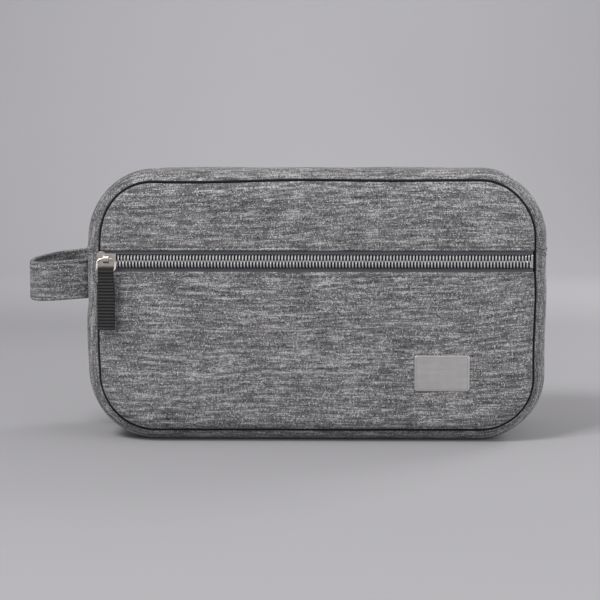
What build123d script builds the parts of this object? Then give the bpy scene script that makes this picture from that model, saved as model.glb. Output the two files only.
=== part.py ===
from build123d import *
import os
from math import asin, cos, degrees, radians, sin

# A soft-sided toiletry bag with a zipped front pocket, a zipped top mouth and a side handle.
# Millimetres. X runs along the bag, -Y is the front, +Z is up.
# The origin is on the floor, under the middle of the bag's body.

# Driving dimensions of the body
BODY_WIDTH = 251.0
BODY_HEIGHT = 150.0
SEAM_DEPTH = 84.0          # front seam to rear seam
GUSSET_BULGE = 7.0         # how far the gusset stands outside the seams
CROWN_SETBACK = 12.0       # from a seam to the gusset's highest line
SEAM_RADIUS = 30.0
PANEL_PUFF = 5.7           # how far a panel stands in front of its seam
PANEL_ROLL = 5.0           # radius of the panel's edge
FACET_TURN = 18.0          # degrees from one flat of a rounded section to the next
WIRE_SIDES = 8

# Layers of the padded wall
FABRIC = 0.8
FOAM = 2.6
LINING = 0.4
LAYER_GAP = 0.15
POCKET_SPACE = 5.0

# Seams
PIPING_RADIUS = 0.75
PIPING_GAP = 0.25
BINDING_THICK = 1.5
BINDING_DEEP = 6.5

# Zips
POCKET_ZIP_HEIGHT = 99.6   # middle of the pocket's chain above the floor
ZIP_OPENING = 11.5         # fabric edge to fabric edge across a zip
MOUTH_EDGE = 7.5           # top strip's folded edge from the middle of the mouth
TAPE_THICK = 0.5
TAPE_INNER = 1.9           # tape edge from the middle of the chain
TAPE_OUTER = 12.5
TAPE_END = 112.0
POCKET_CHAIN_END = 115.7   # the chain runs on into the side seam
COIL_BACK = 3.3            # back of the coil from the middle of the chain
COIL_SPINE = 1.1
COIL_REACH = 0.65          # how far a tooth passes the middle
COIL_THICK = 1.8
COIL_PITCH = 1.78
TOOTH_WIDTH = 0.72
COIL_LIFT = 0.05
STOP_THICK = 1.3
STOP_LONG = 1.6
STOP_INSET = 3.2           # middle of a stop from the end of its tape

# Slider
SLIDER_LENGTH = 10.4
TAIL_HALF = 4.25
HEAD_HALF = 5.5
LOBE_RADIUS = 2.4
PLATE = 1.0
PLATE_EDGE = 0.3
PLATE_CLEAR = 0.35         # plate to coil, and plate to tape
FLANGE_THICK = 0.65
FLANGE_DROP = 1.2
WEDGE_HALF = 1.3
BRIDGE_WIDTH = 3.0
BRIDGE_INNER = 1.4
BRIDGE_WALL = 0.9
BRIDGE_OFFSET = 1.3        # pocket slider's bridge above the middle of its chain
POCKET_PARK = -114.0       # pocket slider's middle at rest
MAIN_PARK = 70.0           # mouth slider's middle at rest

# Pulls
WIRE_RADIUS = 0.55
RING_WIDTH = 9.9
POCKET_RING_REACH = 6.2
MAIN_RING_REACH = 8.4
RING_BEND = 1.2
WEBBING = 1.2
WEBBING_CLEAR = 0.2
TAB_WIDTH = 9.6
TAB_NECK = 8.2
TAB_NECK_LENGTH = 3.0
POCKET_TAB_LENGTH = 32.2
MAIN_TAB_LENGTH = 24.0
TAB_PLATE_GAP = 0.25       # pocket tab's fold in front of the slider's plate
MAIN_BAR_LEVEL = 3.65      # bar of the mouth's ring above its tape

# Mouth
LIP_HALF = 63.0
LIP_GAP = 0.3
MAIN_CHAIN_END = 80.0
END_TAB_HALF = 8.6
END_TAB_START = 78.0
END_TAB_THICK = 0.7
ZIP_GUSSET_FOOT = 106.0    # where the zipped gusset is sewn to the base gusset

# Handle
STRAP_HEIGHT = 22.4
STRAP_THICK = 2.2
HANDLE_HALF = 29.0         # strap's middle plane from the bag's middle, at its ends
HANDLE_REACH = 34.0
HANDLE_CENTRE = 88.7
HANDLE_DROOP = 10.0         # degrees below level
ANCHOR_LENGTH = 14.0
ANCHOR_THICK = 1.2
STRAP_RUNNING_GAP = 0.35

# Badge
BADGE_FROM_SIDE = 50.3     # badge's middle from the side seam
BADGE_FROM_BASE = 31.8     # badge's middle above the base seam
BADGE_WIDTH = 30.0
BADGE_HEIGHT = 19.6
BADGE_THICK = 0.9
BADGE_CORNER = 1.3
BADGE_BEVEL = 0.3
PRONG_WIDTH = 3.0
PRONG_THICK = 0.5
BACKER_THICK = 0.4

# Worked out from the driving dimensions
SEAM_Y = SEAM_DEPTH / 2
CROWN_Y = SEAM_Y - CROWN_SETBACK
SEAM_HALF = BODY_WIDTH / 2 - GUSSET_BULGE
SEAM_LOW = GUSSET_BULGE
SEAM_HIGH = BODY_HEIGHT - GUSSET_BULGE
SEAM_MIDDLE = (SEAM_LOW + SEAM_HIGH) / 2
BADGE_X = SEAM_HALF - BADGE_FROM_SIDE
BADGE_Z = SEAM_LOW + BADGE_FROM_BASE
PANEL_Y = SEAM_Y + PANEL_PUFF
WALL = FABRIC + LAYER_GAP + FOAM + LAYER_GAP + LINING
ROLL_RADIUS = (CROWN_SETBACK**2 + GUSSET_BULGE**2) / (2 * GUSSET_BULGE)
MOUTH_RISE = 1.7           # top strip's edge above the tape
STRIP_RUN = CROWN_Y - MOUTH_EDGE
STRIP_FALL = GUSSET_BULGE - MOUTH_RISE
STRIP_RADIUS = (STRIP_RUN**2 + STRIP_FALL**2) / (2 * STRIP_FALL)
POCKET_TAPE_Y = PANEL_Y - FABRIC - LAYER_GAP
MAIN_TAPE_Z = SEAM_HIGH
COIL_TOP = COIL_LIFT + COIL_THICK
PLATE_LOW = COIL_TOP + PLATE_CLEAR
PLATE_TOP = PLATE_LOW + PLATE
TUNNEL_LEVEL = PLATE_TOP + WIRE_RADIUS + WEBBING_CLEAR
FOLD_RADIUS = WIRE_RADIUS + WEBBING_CLEAR + WEBBING
POCKET_BAR_LEVEL = PLATE_TOP + TAB_PLATE_GAP + FOLD_RADIUS
SEAM_EDGE = PIPING_RADIUS + PIPING_GAP


def write(name, shape):
    """Write one named piece as a STEP file."""
    os.makedirs("parts", exist_ok=True)
    export_step(shape, f"parts/{name}.step")


def upright(y):
    """Upright plane across the bag at depth y, looking towards the front."""
    return Plane(origin=(0, y, SEAM_MIDDLE), x_dir=(1, 0, 0), z_dir=(0, -1, 0))


def panel_block(inset, y_from, y_to):
    """Plain block with the seam's outline, inset all round, between two depths."""
    near, far = min(y_from, y_to), max(y_from, y_to)
    width = 2 * (SEAM_HALF - inset)
    height = SEAM_HIGH - SEAM_LOW - 2 * inset
    outline = RectangleRounded(width, height, SEAM_RADIUS - inset)
    return extrude(upright(far) * outline, far - near)


def puffed_block(inset, seam_y, face_y, roll):
    """Block whose outer face is rolled down to the seam all round, in two facets that follow a quarter circle."""
    block = panel_block(inset, seam_y, face_y)
    rim = block.edges().filter_by_position(Axis.Y, face_y - 0.01, face_y + 0.01)
    face = block.faces().filter_by_position(Axis.Y, face_y - 0.01, face_y + 0.01)[0]
    short = roll * (1 - cos(radians(45))) / sin(radians(45))
    return chamfer(rim, roll, short, reference=face) & chamfer(rim, short, roll, reference=face)


def puffed_skin(inset, thickness, face_y, side):
    """Thin pan that covers one side of the bag. side is -1 at the front and 1 at the back."""
    seam_y = side * (SEAM_Y + 0.3)
    roll = PANEL_ROLL - (PANEL_Y - abs(face_y))
    outer = puffed_block(inset, seam_y, face_y, roll)
    inner = puffed_block(inset + thickness, seam_y, face_y - side * thickness, roll - thickness)
    return outer - inner


def seam_path(y):
    """The seam's closed outline at depth y, starting at the middle of the base."""
    left, right = -SEAM_HALF + SEAM_RADIUS, SEAM_HALF - SEAM_RADIUS
    low, high = SEAM_LOW + SEAM_RADIUS, SEAM_HIGH - SEAM_RADIUS
    corner = SEAM_RADIUS * sin(radians(45))

    def at(x, z):
        return (x, y, z)

    edges = [
        Line(at(0, SEAM_LOW), at(right, SEAM_LOW)),
        ThreePointArc(at(right, SEAM_LOW), at(right + corner, low - corner), at(SEAM_HALF, low)),
        Line(at(SEAM_HALF, low), at(SEAM_HALF, high)),
        ThreePointArc(at(SEAM_HALF, high), at(right + corner, high + corner), at(right, SEAM_HIGH)),
        Line(at(right, SEAM_HIGH), at(left, SEAM_HIGH)),
        ThreePointArc(at(left, SEAM_HIGH), at(left - corner, high + corner), at(-SEAM_HALF, high)),
        Line(at(-SEAM_HALF, high), at(-SEAM_HALF, low)),
        ThreePointArc(at(-SEAM_HALF, low), at(left - corner, low - corner), at(left, SEAM_LOW)),
        Line(at(left, SEAM_LOW), at(0, SEAM_LOW)),
    ]
    return Wire(edges)


def around(section, y=0.0):
    """Carry a section round the seam. The section is drawn at the middle of the base."""
    return sweep(section, path=seam_path(y))


def section_point(y, outward):
    """Point of a section at the middle of the base, outward being away from the bag."""
    return (0, y, SEAM_LOW - outward)


def faceted(radius, reach):
    """Runs and drops of an arc from its top out to a reach, in even turns, the last flat cut at the reach."""
    points = [(0.0, 0.0)]
    turn = FACET_TURN
    while points[-1][0] < reach:
        run, drop = radius * sin(radians(turn)), radius * (1 - cos(radians(turn)))
        if run > reach:
            last_run, last_drop = points[-1]
            share = (reach - last_run) / (run - last_run)
            run, drop = reach, last_drop + share * (drop - last_drop)
        points.append((run, drop))
        turn += FACET_TURN
    return points


def roll_points(depth, end):
    """Front roll's points at a depth under its outer face, from y = -end up to the crown."""
    arc = faceted(ROLL_RADIUS - depth, end - CROWN_Y)
    return [section_point(-CROWN_Y - run, GUSSET_BULGE - depth - drop) for run, drop in reversed(arc)]


def strip_points(depth, stop):
    """Front strip's points at a depth under its outer face, from the crown to y = -stop."""
    arc = faceted(STRIP_RADIUS - depth, CROWN_Y - stop)
    return [section_point(-CROWN_Y + run, GUSSET_BULGE - depth - drop) for run, drop in arc]


def mirrored(point):
    """The same point of a section on the rear half of the bag."""
    return (point[0], -point[1], point[2])


def base_section(depth, thickness, end):
    """Section of a base gusset layer, from front to rear, its ends at a distance end from the middle."""
    outer = roll_points(depth, end)
    inner = roll_points(depth + thickness, end)
    over = outer + [mirrored(point) for point in reversed(outer)]
    under = inner + [mirrored(point) for point in reversed(inner)]
    return make_face(Polyline(over + list(reversed(under)), close=True))


def zip_section(depth, thickness, start, stop):
    """Section of a front zip gusset layer, from y = -start over the crown to y = -stop."""
    low = depth + thickness
    over = roll_points(depth, start) + strip_points(depth, stop)[1:]
    under = roll_points(low, start) + strip_points(low, stop)[1:]
    return make_face(Polyline(over + list(reversed(under)), close=True))


def block(x_from, x_to, y_from, y_to, z_from, z_to):
    """Box between two corners."""
    size = (x_to - x_from, y_to - y_from, z_to - z_from)
    centre = ((x_from + x_to) / 2, (y_from + y_to) / 2, (z_from + z_to) / 2)
    return Pos(*centre) * Box(*size)


def to_rear(shape):
    """Mirror a front piece to the rear half of the bag."""
    return mirror(shape, about=Plane.XZ)


# Front panel, pocket and badge


def front_panel():
    """Fabric above and below the pocket's zip."""
    skin = puffed_skin(SEAM_EDGE, FABRIC, -PANEL_Y, -1)
    low, high = POCKET_ZIP_HEIGHT - ZIP_OPENING / 2, POCKET_ZIP_HEIGHT + ZIP_OPENING / 2
    reach = BODY_WIDTH
    above = block(-reach, reach, -reach, 0, high, reach)
    below = block(-reach, reach, -reach, 0, -reach, low)
    write("front_panel_upper", skin & above)
    write("front_panel_lower", (skin & below) - badge_slots())


def front_layers():
    """Flat sheets behind the pocket: its back, the foam board and the lining."""
    inset = SEAM_EDGE + FABRIC
    y = -(PANEL_Y - FABRIC - POCKET_SPACE - 2 * LAYER_GAP)
    for name, thickness in (("pocket_back", LINING), ("front_foam", FOAM), ("front_lining", LINING)):
        write(name, panel_block(inset, y, y + thickness))
        y += thickness + LAYER_GAP
    return y


def badge_plate_shape():
    """Rounded plate with a bevelled face and two prongs that pass through the fabric."""
    face = Plane(origin=(BADGE_X, -PANEL_Y - LAYER_GAP, BADGE_Z), x_dir=(1, 0, 0), z_dir=(0, -1, 0))
    plate = extrude(face * RectangleRounded(BADGE_WIDTH, BADGE_HEIGHT, BADGE_CORNER), BADGE_THICK)
    rim = plate.edges().group_by(Axis.Y)[0]
    plate = chamfer(rim, BADGE_BEVEL)
    prong_length = LAYER_GAP + FABRIC + LAYER_GAP + BACKER_THICK
    prongs = extrude(face * badge_prong_sketch(0), -prong_length)
    return plate + prongs


def badge_prong_sketch(clear):
    """The two prongs' outlines, grown by a clearance."""
    spread = BADGE_WIDTH / 2 - PRONG_WIDTH
    prong = Rectangle(PRONG_THICK + 2 * clear, PRONG_WIDTH + 2 * clear)
    return Sketch() + [Pos(side * spread, 0) * prong for side in (-1, 1)]


def badge_slots():
    """Slots for the prongs through the fabric and the backing plate."""
    face = Plane(origin=(BADGE_X, -PANEL_Y - 1, BADGE_Z), x_dir=(1, 0, 0), z_dir=(0, -1, 0))
    return extrude(face * badge_prong_sketch(LAYER_GAP), -POCKET_SPACE)


def badge():
    """Metal badge outside and its backing plate inside the pocket."""
    write("badge_plate", badge_plate_shape())
    y = -(PANEL_Y - FABRIC - LAYER_GAP)
    face = Plane(origin=(BADGE_X, y, BADGE_Z), x_dir=(1, 0, 0), z_dir=(0, 1, 0))
    backer = RectangleRounded(BADGE_WIDTH - PRONG_WIDTH, BADGE_HEIGHT / 2, BADGE_CORNER)
    write("badge_backer", extrude(face * backer, BACKER_THICK) - badge_slots())


# Back panel


def back_layers():
    """Rolled fabric of the back, with the foam board and the lining inside it."""
    write("back_panel", puffed_skin(SEAM_EDGE, FABRIC, PANEL_Y, 1))
    inset = SEAM_EDGE + FABRIC + PANEL_ROLL
    y = PANEL_Y - FABRIC - LAYER_GAP
    for name, thickness in (("back_foam", FOAM), ("back_lining", LINING)):
        write(name, panel_block(inset, y - thickness, y))
        y -= thickness + LAYER_GAP


# Base gusset and zipped gusset


def base_gusset():
    """Fabric, foam and lining round the base and the sides, up to the cross seams."""
    reach = BODY_WIDTH
    keep = block(-reach, reach, -reach, reach, -reach, ZIP_GUSSET_FOOT - LAYER_GAP)
    fabric = around(base_section(0, FABRIC, SEAM_Y - SEAM_EDGE)) & keep
    inner_end = SEAM_Y - SEAM_EDGE - WALL
    foam = around(base_section(FABRIC + LAYER_GAP, FOAM, inner_end)) & keep
    lining = around(base_section(WALL - LINING, LINING, inner_end)) & keep
    write("base_gusset", fabric)
    write("base_foam", foam)
    write("base_lining", lining)


def lip_zone(gap):
    """The part of the top that opens with the front lip, less a gap at its edges."""
    half = LIP_HALF - gap
    return block(-half, half, -CROWN_Y + gap, 0, ZIP_GUSSET_FOOT, BODY_HEIGHT + 10)


def zip_gusset():
    """Front and rear strips beside the mouth: fixed frames, and lips that fold out at the crown."""
    reach = BODY_WIDTH
    keep = block(-reach, reach, -reach, reach, ZIP_GUSSET_FOOT + LAYER_GAP, reach)
    inner_start = SEAM_Y - SEAM_EDGE - WALL
    above_tape = MAIN_TAPE_Z + LAYER_GAP
    layers = {
        "strip": zip_section(0, FABRIC, SEAM_Y - SEAM_EDGE, MOUTH_EDGE),
        "foam": zip_section(FABRIC + LAYER_GAP, FOAM, inner_start, MOUTH_EDGE + 3),
        "lining": zip_section(WALL - LINING, LINING, inner_start, TAPE_OUTER + 1),
    }
    under_tape = around(tape_keepout_section())
    for layer, section in layers.items():
        whole = around(section) & keep
        if layer == "foam":
            whole = whole - under_tape
        fixed = whole - lip_zone(0)
        lip = whole & lip_zone(LIP_GAP)
        write(f"zip_gusset_{layer}_front", fixed)
        write(f"zip_gusset_{layer}_rear", to_rear(fixed))
        write(f"lip_{layer}_front", lip)
        write(f"lip_{layer}_rear", to_rear(lip))


def tape_keepout_section():
    """Space that the foam leaves for the zip's tape and the slider."""
    outer = TAPE_OUTER + 2 * LAYER_GAP
    top = TAPE_THICK / 2
    points = [(-outer, top), (0, top), (0, -2 * WALL), (-outer, -2 * WALL)]
    return make_face(Polyline([section_point(y, o) for y, o in points], close=True))


def seams():
    """Piping in both seams outside, and bound seam allowances inside."""
    start = Plane(origin=(0, -SEAM_Y, SEAM_LOW), z_dir=(1, 0, 0))
    piping = sweep(start * RegularPolygon(PIPING_RADIUS, WIRE_SIDES), path=seam_path(-SEAM_Y))
    write("piping_front", piping)
    write("piping_rear", to_rear(piping))
    front_wall = PANEL_Y - FABRIC - POCKET_SPACE - 2 * LAYER_GAP - FOAM - 2 * LINING - 3 * LAYER_GAP
    lining_end = SEAM_Y - SEAM_EDGE - WALL
    lining_drop = faceted(ROLL_RADIUS - WALL, lining_end - CROWN_Y)[-1][1]
    top = GUSSET_BULGE - WALL - lining_drop - 2 * LAYER_GAP
    y_far = -front_wall + BINDING_THICK
    points = [(-front_wall, top), (y_far, top), (y_far, top - BINDING_DEEP), (-front_wall, top - BINDING_DEEP)]
    binding = around(make_face(Polyline([section_point(y, o) for y, o in points], close=True)))
    write("seam_binding_front", binding)
    write("seam_binding_rear", to_rear(binding))


# Zips, drawn flat: X along the chain, Y across it, Z out of the tape


def coil_comb(x_from, x_to, start, side):
    """One coil as a comb: a spine with teeth that reach past the middle. side is 1 or -1 across the chain."""
    points = [(x_to, COIL_BACK), (x_from, COIL_BACK)]
    shoulder = COIL_BACK - COIL_SPINE
    points.append((x_from, shoulder))
    first = x_from + start
    count = int((x_to - 0.2 - first - TOOTH_WIDTH) / COIL_PITCH) + 1
    for index in range(count):
        near = first + index * COIL_PITCH
        far = near + TOOTH_WIDTH
        points += [(near, shoulder), (near, -COIL_REACH), (far, -COIL_REACH), (far, shoulder)]
    points.append((x_to, shoulder))
    outline = make_face(Polyline([(x, side * y) for x, y in points], close=True))
    comb = extrude(outline, COIL_THICK, dir=(0, 0, 1))
    return Pos(0, 0, COIL_LIFT) * comb


def tape_strip(x_from, x_to, side):
    """One tape, flat, on one side of the chain."""
    near, far = sorted((side * TAPE_INNER, side * TAPE_OUTER))
    return block(x_from, x_to, near, far, -TAPE_THICK, 0)


def zip_stop(x, width):
    """Crimped stop across the end of a chain."""
    return Pos(x, 0, COIL_LIFT + STOP_THICK / 2) * Box(STOP_LONG, width, STOP_THICK)


def slider_body(bridge_turn, bridge_offset):
    """Slider casting, its head towards +X, its bridge turned by an angle and set off across the chain."""
    half = SLIDER_LENGTH / 2
    lobe_x = half - LOBE_RADIUS
    lobe_y = HEAD_HALF - LOBE_RADIUS
    tail = Pos(-half / 2, 0) * Rectangle(half, 2 * TAIL_HALF)
    arms = [Pos(lobe_x, side * lobe_y) * Circle(LOBE_RADIUS) for side in (-1, 1)]
    shoulders = make_face(
        Polyline((0, -TAIL_HALF), (lobe_x, -HEAD_HALF), (lobe_x, HEAD_HALF), (0, TAIL_HALF), close=True)
    )
    nose = Pos(lobe_x, 0) * Rectangle(2 * LOBE_RADIUS * 0.8, 2 * lobe_y)
    plate = Sketch() + [tail, shoulders, nose, *arms]
    top = Pos(0, 0, PLATE_LOW) * extrude(plate, PLATE)
    top = chamfer(top.edges().filter_by_position(Axis.Z, PLATE_TOP - 0.01, PLATE_TOP + 0.01), PLATE_EDGE)
    under = -TAPE_THICK - PLATE_CLEAR
    bottom = Pos(0, 0, under - PLATE) * extrude(plate, PLATE)
    wedge_top, wedge_low = PLATE_LOW, under
    wedge_outline = make_face(
        Polyline((half - 4.2, 0), (half - 0.8, WEDGE_HALF), (half - 0.3, 0), (half - 0.8, -WEDGE_HALF), close=True)
    )
    wedge = Pos(0, 0, wedge_low) * extrude(wedge_outline, wedge_top - wedge_low)
    body = top + bottom + wedge
    for side in (-1, 1):
        y = side * (TAIL_HALF - FLANGE_THICK / 2)
        flange = Box(half, FLANGE_THICK, FLANGE_DROP)
        body += Pos(-half / 2, y, PLATE_LOW - FLANGE_DROP / 2 + 0.1) * flange
    arch = Circle(BRIDGE_INNER + BRIDGE_WALL) - Circle(BRIDGE_INNER)
    arch = arch & (Pos(0, 5) * Rectangle(10, 10))
    arch_plane = Plane(origin=(-BRIDGE_WIDTH / 2, 0, 0), x_dir=(0, 1, 0), z_dir=(1, 0, 0))
    bridge = extrude(arch_plane * arch, BRIDGE_WIDTH)
    bridge = Pos(0, -bridge_offset, PLATE_TOP - 0.02) * (Rot(0, 0, bridge_turn) * bridge)
    return body + bridge


def pull_ring(reach):
    """Wire ring lying flat: its top bar on the X axis, its bar for the webbing at y = reach."""
    outline = RectangleRounded(RING_WIDTH, reach, min(reach, RING_WIDTH) / 2 - RING_BEND / 2)
    lower = RectangleRounded(RING_WIDTH, reach, RING_BEND)
    upper_half = outline & (Pos(0, -reach) * Rectangle(2 * RING_WIDTH, 2 * reach))
    lower_half = lower & (Pos(0, reach) * Rectangle(2 * RING_WIDTH, 2 * reach))
    shape = Pos(0, reach / 2) * (upper_half + lower_half)
    path = shape.face().outer_wire()
    start = path @ 0
    tangent = path % 0
    wire = Plane(origin=start, z_dir=tangent) * RegularPolygon(WIRE_RADIUS, WIRE_SIDES)
    return sweep(wire, path=path)


def pull_tab(length):
    """Folded webbing round a bar on the X axis, hanging towards +Y, both layers closed below the fold."""
    hole = WIRE_RADIUS + WEBBING_CLEAR
    profile_plane = Plane(origin=(-TAB_WIDTH / 2, 0, 0), x_dir=(0, 1, 0), z_dir=(1, 0, 0))
    neck_plane = Plane(origin=(-TAB_NECK / 2, 0, 0), x_dir=(0, 1, 0), z_dir=(1, 0, 0))
    half = WEBBING + 0.05
    fold_front = hole + FOLD_RADIUS
    fold = make_face(
        [
            ThreePointArc((0, FOLD_RADIUS), (-FOLD_RADIUS, 0), (0, -FOLD_RADIUS)),
            Line((0, -FOLD_RADIUS), (fold_front, -half)),
            Line((fold_front, -half), (fold_front, half)),
            Line((fold_front, half), (0, FOLD_RADIUS)),
        ]
    )
    eye = make_face(
        [
            ThreePointArc((0, hole), (-hole, 0), (0, -hole)),
            Line((0, -hole), (2 * hole, 0)),
            Line((2 * hole, 0), (0, hole)),
        ]
    )
    neck_end = fold_front + TAB_NECK_LENGTH
    neck = fold - eye + Pos((fold_front + neck_end) / 2, 0) * Rectangle(TAB_NECK_LENGTH, 2 * half)
    strap = Pos((neck_end + length) / 2, 0) * Rectangle(length - neck_end, 2 * half)
    return extrude(neck_plane * neck, TAB_NECK) + extrude(profile_plane * strap, TAB_WIDTH)


POCKET_PLANE = Plane(origin=(0, -POCKET_TAPE_Y, POCKET_ZIP_HEIGHT), x_dir=(-1, 0, 0), z_dir=(0, -1, 0))
MOUTH_PLANE = Plane(origin=(0, 0, MAIN_TAPE_Z), x_dir=(1, 0, 0), z_dir=(0, 0, 1))


def pocket_zip():
    """Tapes, coils and end stop of the front pocket's zip. The chain ends under the slider's wedge."""
    start = -POCKET_CHAIN_END
    head = -POCKET_PARK - 0.6
    write("pocket_tape_upper", POCKET_PLANE * tape_strip(-TAPE_END, TAPE_END, -1))
    write("pocket_tape_lower", POCKET_PLANE * tape_strip(-TAPE_END, TAPE_END, 1))
    write("pocket_coil_upper", POCKET_PLANE * coil_comb(start, head, 0.4, -1))
    write("pocket_coil_lower", POCKET_PLANE * coil_comb(start, head, 0.4 + COIL_PITCH / 2, 1))
    write("pocket_zip_stop", POCKET_PLANE * zip_stop(start - STOP_LONG / 2 - LAYER_GAP, 2 * COIL_BACK))


def pocket_slider():
    """Slider, ring and webbing tab of the pocket, hanging down in front of the panel."""
    seat = POCKET_PLANE * Pos(-POCKET_PARK, 0, 0)
    write("pocket_slider_body", seat * slider_body(0, BRIDGE_OFFSET))
    rise = POCKET_BAR_LEVEL - TUNNEL_LEVEL
    tilt = degrees(asin(rise / POCKET_RING_REACH))
    tunnel = seat * Pos(0, -BRIDGE_OFFSET, TUNNEL_LEVEL)
    write("pocket_pull_ring", tunnel * (Rot(tilt, 0, 0) * pull_ring(POCKET_RING_REACH)))
    bar = seat * Pos(0, -BRIDGE_OFFSET + POCKET_RING_REACH * cos(radians(tilt)), POCKET_BAR_LEVEL)
    write("pocket_pull_tab", bar * pull_tab(POCKET_TAB_LENGTH))


def mouth_zip():
    """Tapes, coils and stops of the mouth. Each tape and coil is fixed at its ends and moves with its lip between."""
    tapes, coils = [], []
    inner = LIP_HALF - LIP_GAP
    for side, name in ((-1, "front"), (1, "rear")):
        phase = 0.4 if side == 1 else 0.4 + COIL_PITCH / 2
        write(f"main_tape_{name}", MOUTH_PLANE * tape_strip(-inner, inner, side))
        write(f"main_coil_{name}", MOUTH_PLANE * coil_comb(-inner, inner, phase, side))
        tapes.append(tape_strip(-MAIN_CHAIN_END, -LIP_HALF, side))
        tapes.append(tape_strip(LIP_HALF, MAIN_CHAIN_END, side))
        coils.append(coil_comb(-MAIN_CHAIN_END + STOP_INSET + STOP_LONG, -LIP_HALF, phase, side))
        coils.append(coil_comb(LIP_HALF, MAIN_PARK + 0.6, phase, side))
    write("main_tape_ends", MOUTH_PLANE * Compound(children=tapes))
    write("main_coil_ends", MOUTH_PLANE * Compound(children=coils))
    bottom_stop = zip_stop(-MAIN_CHAIN_END + STOP_INSET, 2 * COIL_BACK)
    top_stops = [Pos(0, side * 2.6, 0) * zip_stop(MAIN_CHAIN_END - STOP_INSET, 1.8) for side in (-1, 1)]
    write("main_zip_stops", MOUTH_PLANE * Compound(children=[bottom_stop, *top_stops]))


def mouth_slider():
    """Slider of the mouth, with its ring and tab lying along the chain beyond its head."""
    seat = MOUTH_PLANE * Pos(MAIN_PARK, 0, 0)
    write("main_slider_body", seat * slider_body(90, 0))
    fall = TUNNEL_LEVEL - MAIN_BAR_LEVEL
    tilt = degrees(asin(fall / MAIN_RING_REACH))
    tunnel = seat * Pos(0, 0, TUNNEL_LEVEL)
    write("main_pull_ring", tunnel * (Rot(0, tilt, 0) * Rot(0, 0, -90) * pull_ring(MAIN_RING_REACH)))
    bar = seat * Pos(MAIN_RING_REACH * cos(radians(tilt)), 0, MAIN_BAR_LEVEL)
    write("main_pull_tab", bar * (Rot(0, 0, -90) * pull_tab(MAIN_TAB_LENGTH)))


def end_tabs():
    """Fabric strips that cover the tape ends and carry on round the corners to the cross seams."""
    low, high = LAYER_GAP, LAYER_GAP + END_TAB_THICK
    y = END_TAB_HALF - 2.0
    points = [(-y, low), (y, low), (y, high), (-y, high)]
    band = around(make_face(Polyline([section_point(a, o) for a, o in points], close=True)))
    reach = BODY_WIDTH
    for name, x_from, x_to in (("left", -reach, -END_TAB_START), ("right", END_TAB_START, reach)):
        keep = block(x_from, x_to, -reach, reach, ZIP_GUSSET_FOOT + LAYER_GAP, reach)
        write(f"end_tab_{name}", band & keep)


# Handle


def strap_ribbon(thick, height):
    """Half-round strap in plan, standing on edge, with its ends at x = 0 and its tip at -X."""
    def arc(half, reach):
        return ThreePointArc((0, half), (-reach, 0), (0, -half))

    outer = arc(HANDLE_HALF + thick / 2, HANDLE_REACH + thick / 2)
    inner = arc(HANDLE_HALF - thick / 2, HANDLE_REACH - thick / 2)
    edges = [outer, inner, Line(outer @ 0, inner @ 0), Line(outer @ 1, inner @ 1)]
    return extrude(make_face(edges), height / 2, both=True)


def handle():
    """Strap loop, and the two ends that are folded in and sewn flat to the side."""
    side_x = -BODY_WIDTH / 2
    anchor_x = side_x - LAYER_GAP
    for name, side in (("front", -1), ("rear", 1)):
        y_out = side * HANDLE_HALF
        y_in = side * (HANDLE_HALF - ANCHOR_LENGTH)
        near, far = sorted((y_out, y_in))
        foot = block(anchor_x - ANCHOR_THICK, anchor_x, near, far,
                     HANDLE_CENTRE - STRAP_HEIGHT / 2, HANDLE_CENTRE + STRAP_HEIGHT / 2)
        write(f"handle_anchor_{name}", foot)
    pivot_x = anchor_x - ANCHOR_THICK - STRAP_RUNNING_GAP - STRAP_HEIGHT / 2
    ribbon = strap_ribbon(STRAP_THICK, STRAP_HEIGHT)
    start = STRAP_HEIGHT / 2
    knuckle_plane = Plane(origin=(-start, HANDLE_HALF + 10, 0), x_dir=(1, 0, 0), z_dir=(0, -1, 0))
    knuckle = extrude(knuckle_plane * Circle(STRAP_HEIGHT / 2), 2 * HANDLE_HALF + 20)
    beyond = block(-3 * HANDLE_REACH, -start, -60, 60, -30, 30)
    loop = ribbon & (knuckle + beyond)
    tilted = Pos(pivot_x, 0, HANDLE_CENTRE) * (Rot(0, -HANDLE_DROOP, 0) * (Pos(start, 0, 0) * loop))
    write("handle_loop", tilted)


front_panel()
front_layers()
badge()
back_layers()
base_gusset()
zip_gusset()
seams()
end_tabs()
pocket_zip()
pocket_slider()
mouth_zip()
mouth_slider()
handle()
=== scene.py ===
import math

import bpy
import numpy as np
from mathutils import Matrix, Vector


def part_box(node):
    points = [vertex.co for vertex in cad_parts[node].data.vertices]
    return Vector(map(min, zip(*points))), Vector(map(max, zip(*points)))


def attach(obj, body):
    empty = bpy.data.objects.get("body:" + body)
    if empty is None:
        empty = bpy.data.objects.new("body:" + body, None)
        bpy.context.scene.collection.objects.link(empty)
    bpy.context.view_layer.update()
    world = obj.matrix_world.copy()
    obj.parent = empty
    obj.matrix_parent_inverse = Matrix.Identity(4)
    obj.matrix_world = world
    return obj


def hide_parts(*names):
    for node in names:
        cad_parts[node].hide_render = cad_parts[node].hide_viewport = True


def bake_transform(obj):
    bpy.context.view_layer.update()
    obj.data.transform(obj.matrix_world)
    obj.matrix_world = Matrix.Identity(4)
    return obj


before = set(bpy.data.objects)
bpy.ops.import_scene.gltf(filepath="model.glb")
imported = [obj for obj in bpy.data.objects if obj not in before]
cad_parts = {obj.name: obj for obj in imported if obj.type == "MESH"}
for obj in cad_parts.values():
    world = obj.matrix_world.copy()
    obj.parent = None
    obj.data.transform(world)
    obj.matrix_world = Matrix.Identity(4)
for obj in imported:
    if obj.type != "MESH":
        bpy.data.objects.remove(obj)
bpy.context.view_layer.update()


# Front panel, above and below the pocket's zip
# Two pieces of grey heather polyester. Each is folded under along the zip and topstitched
# there, and rolled down to the seam all round, where the gusset is sewn to it.

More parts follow.
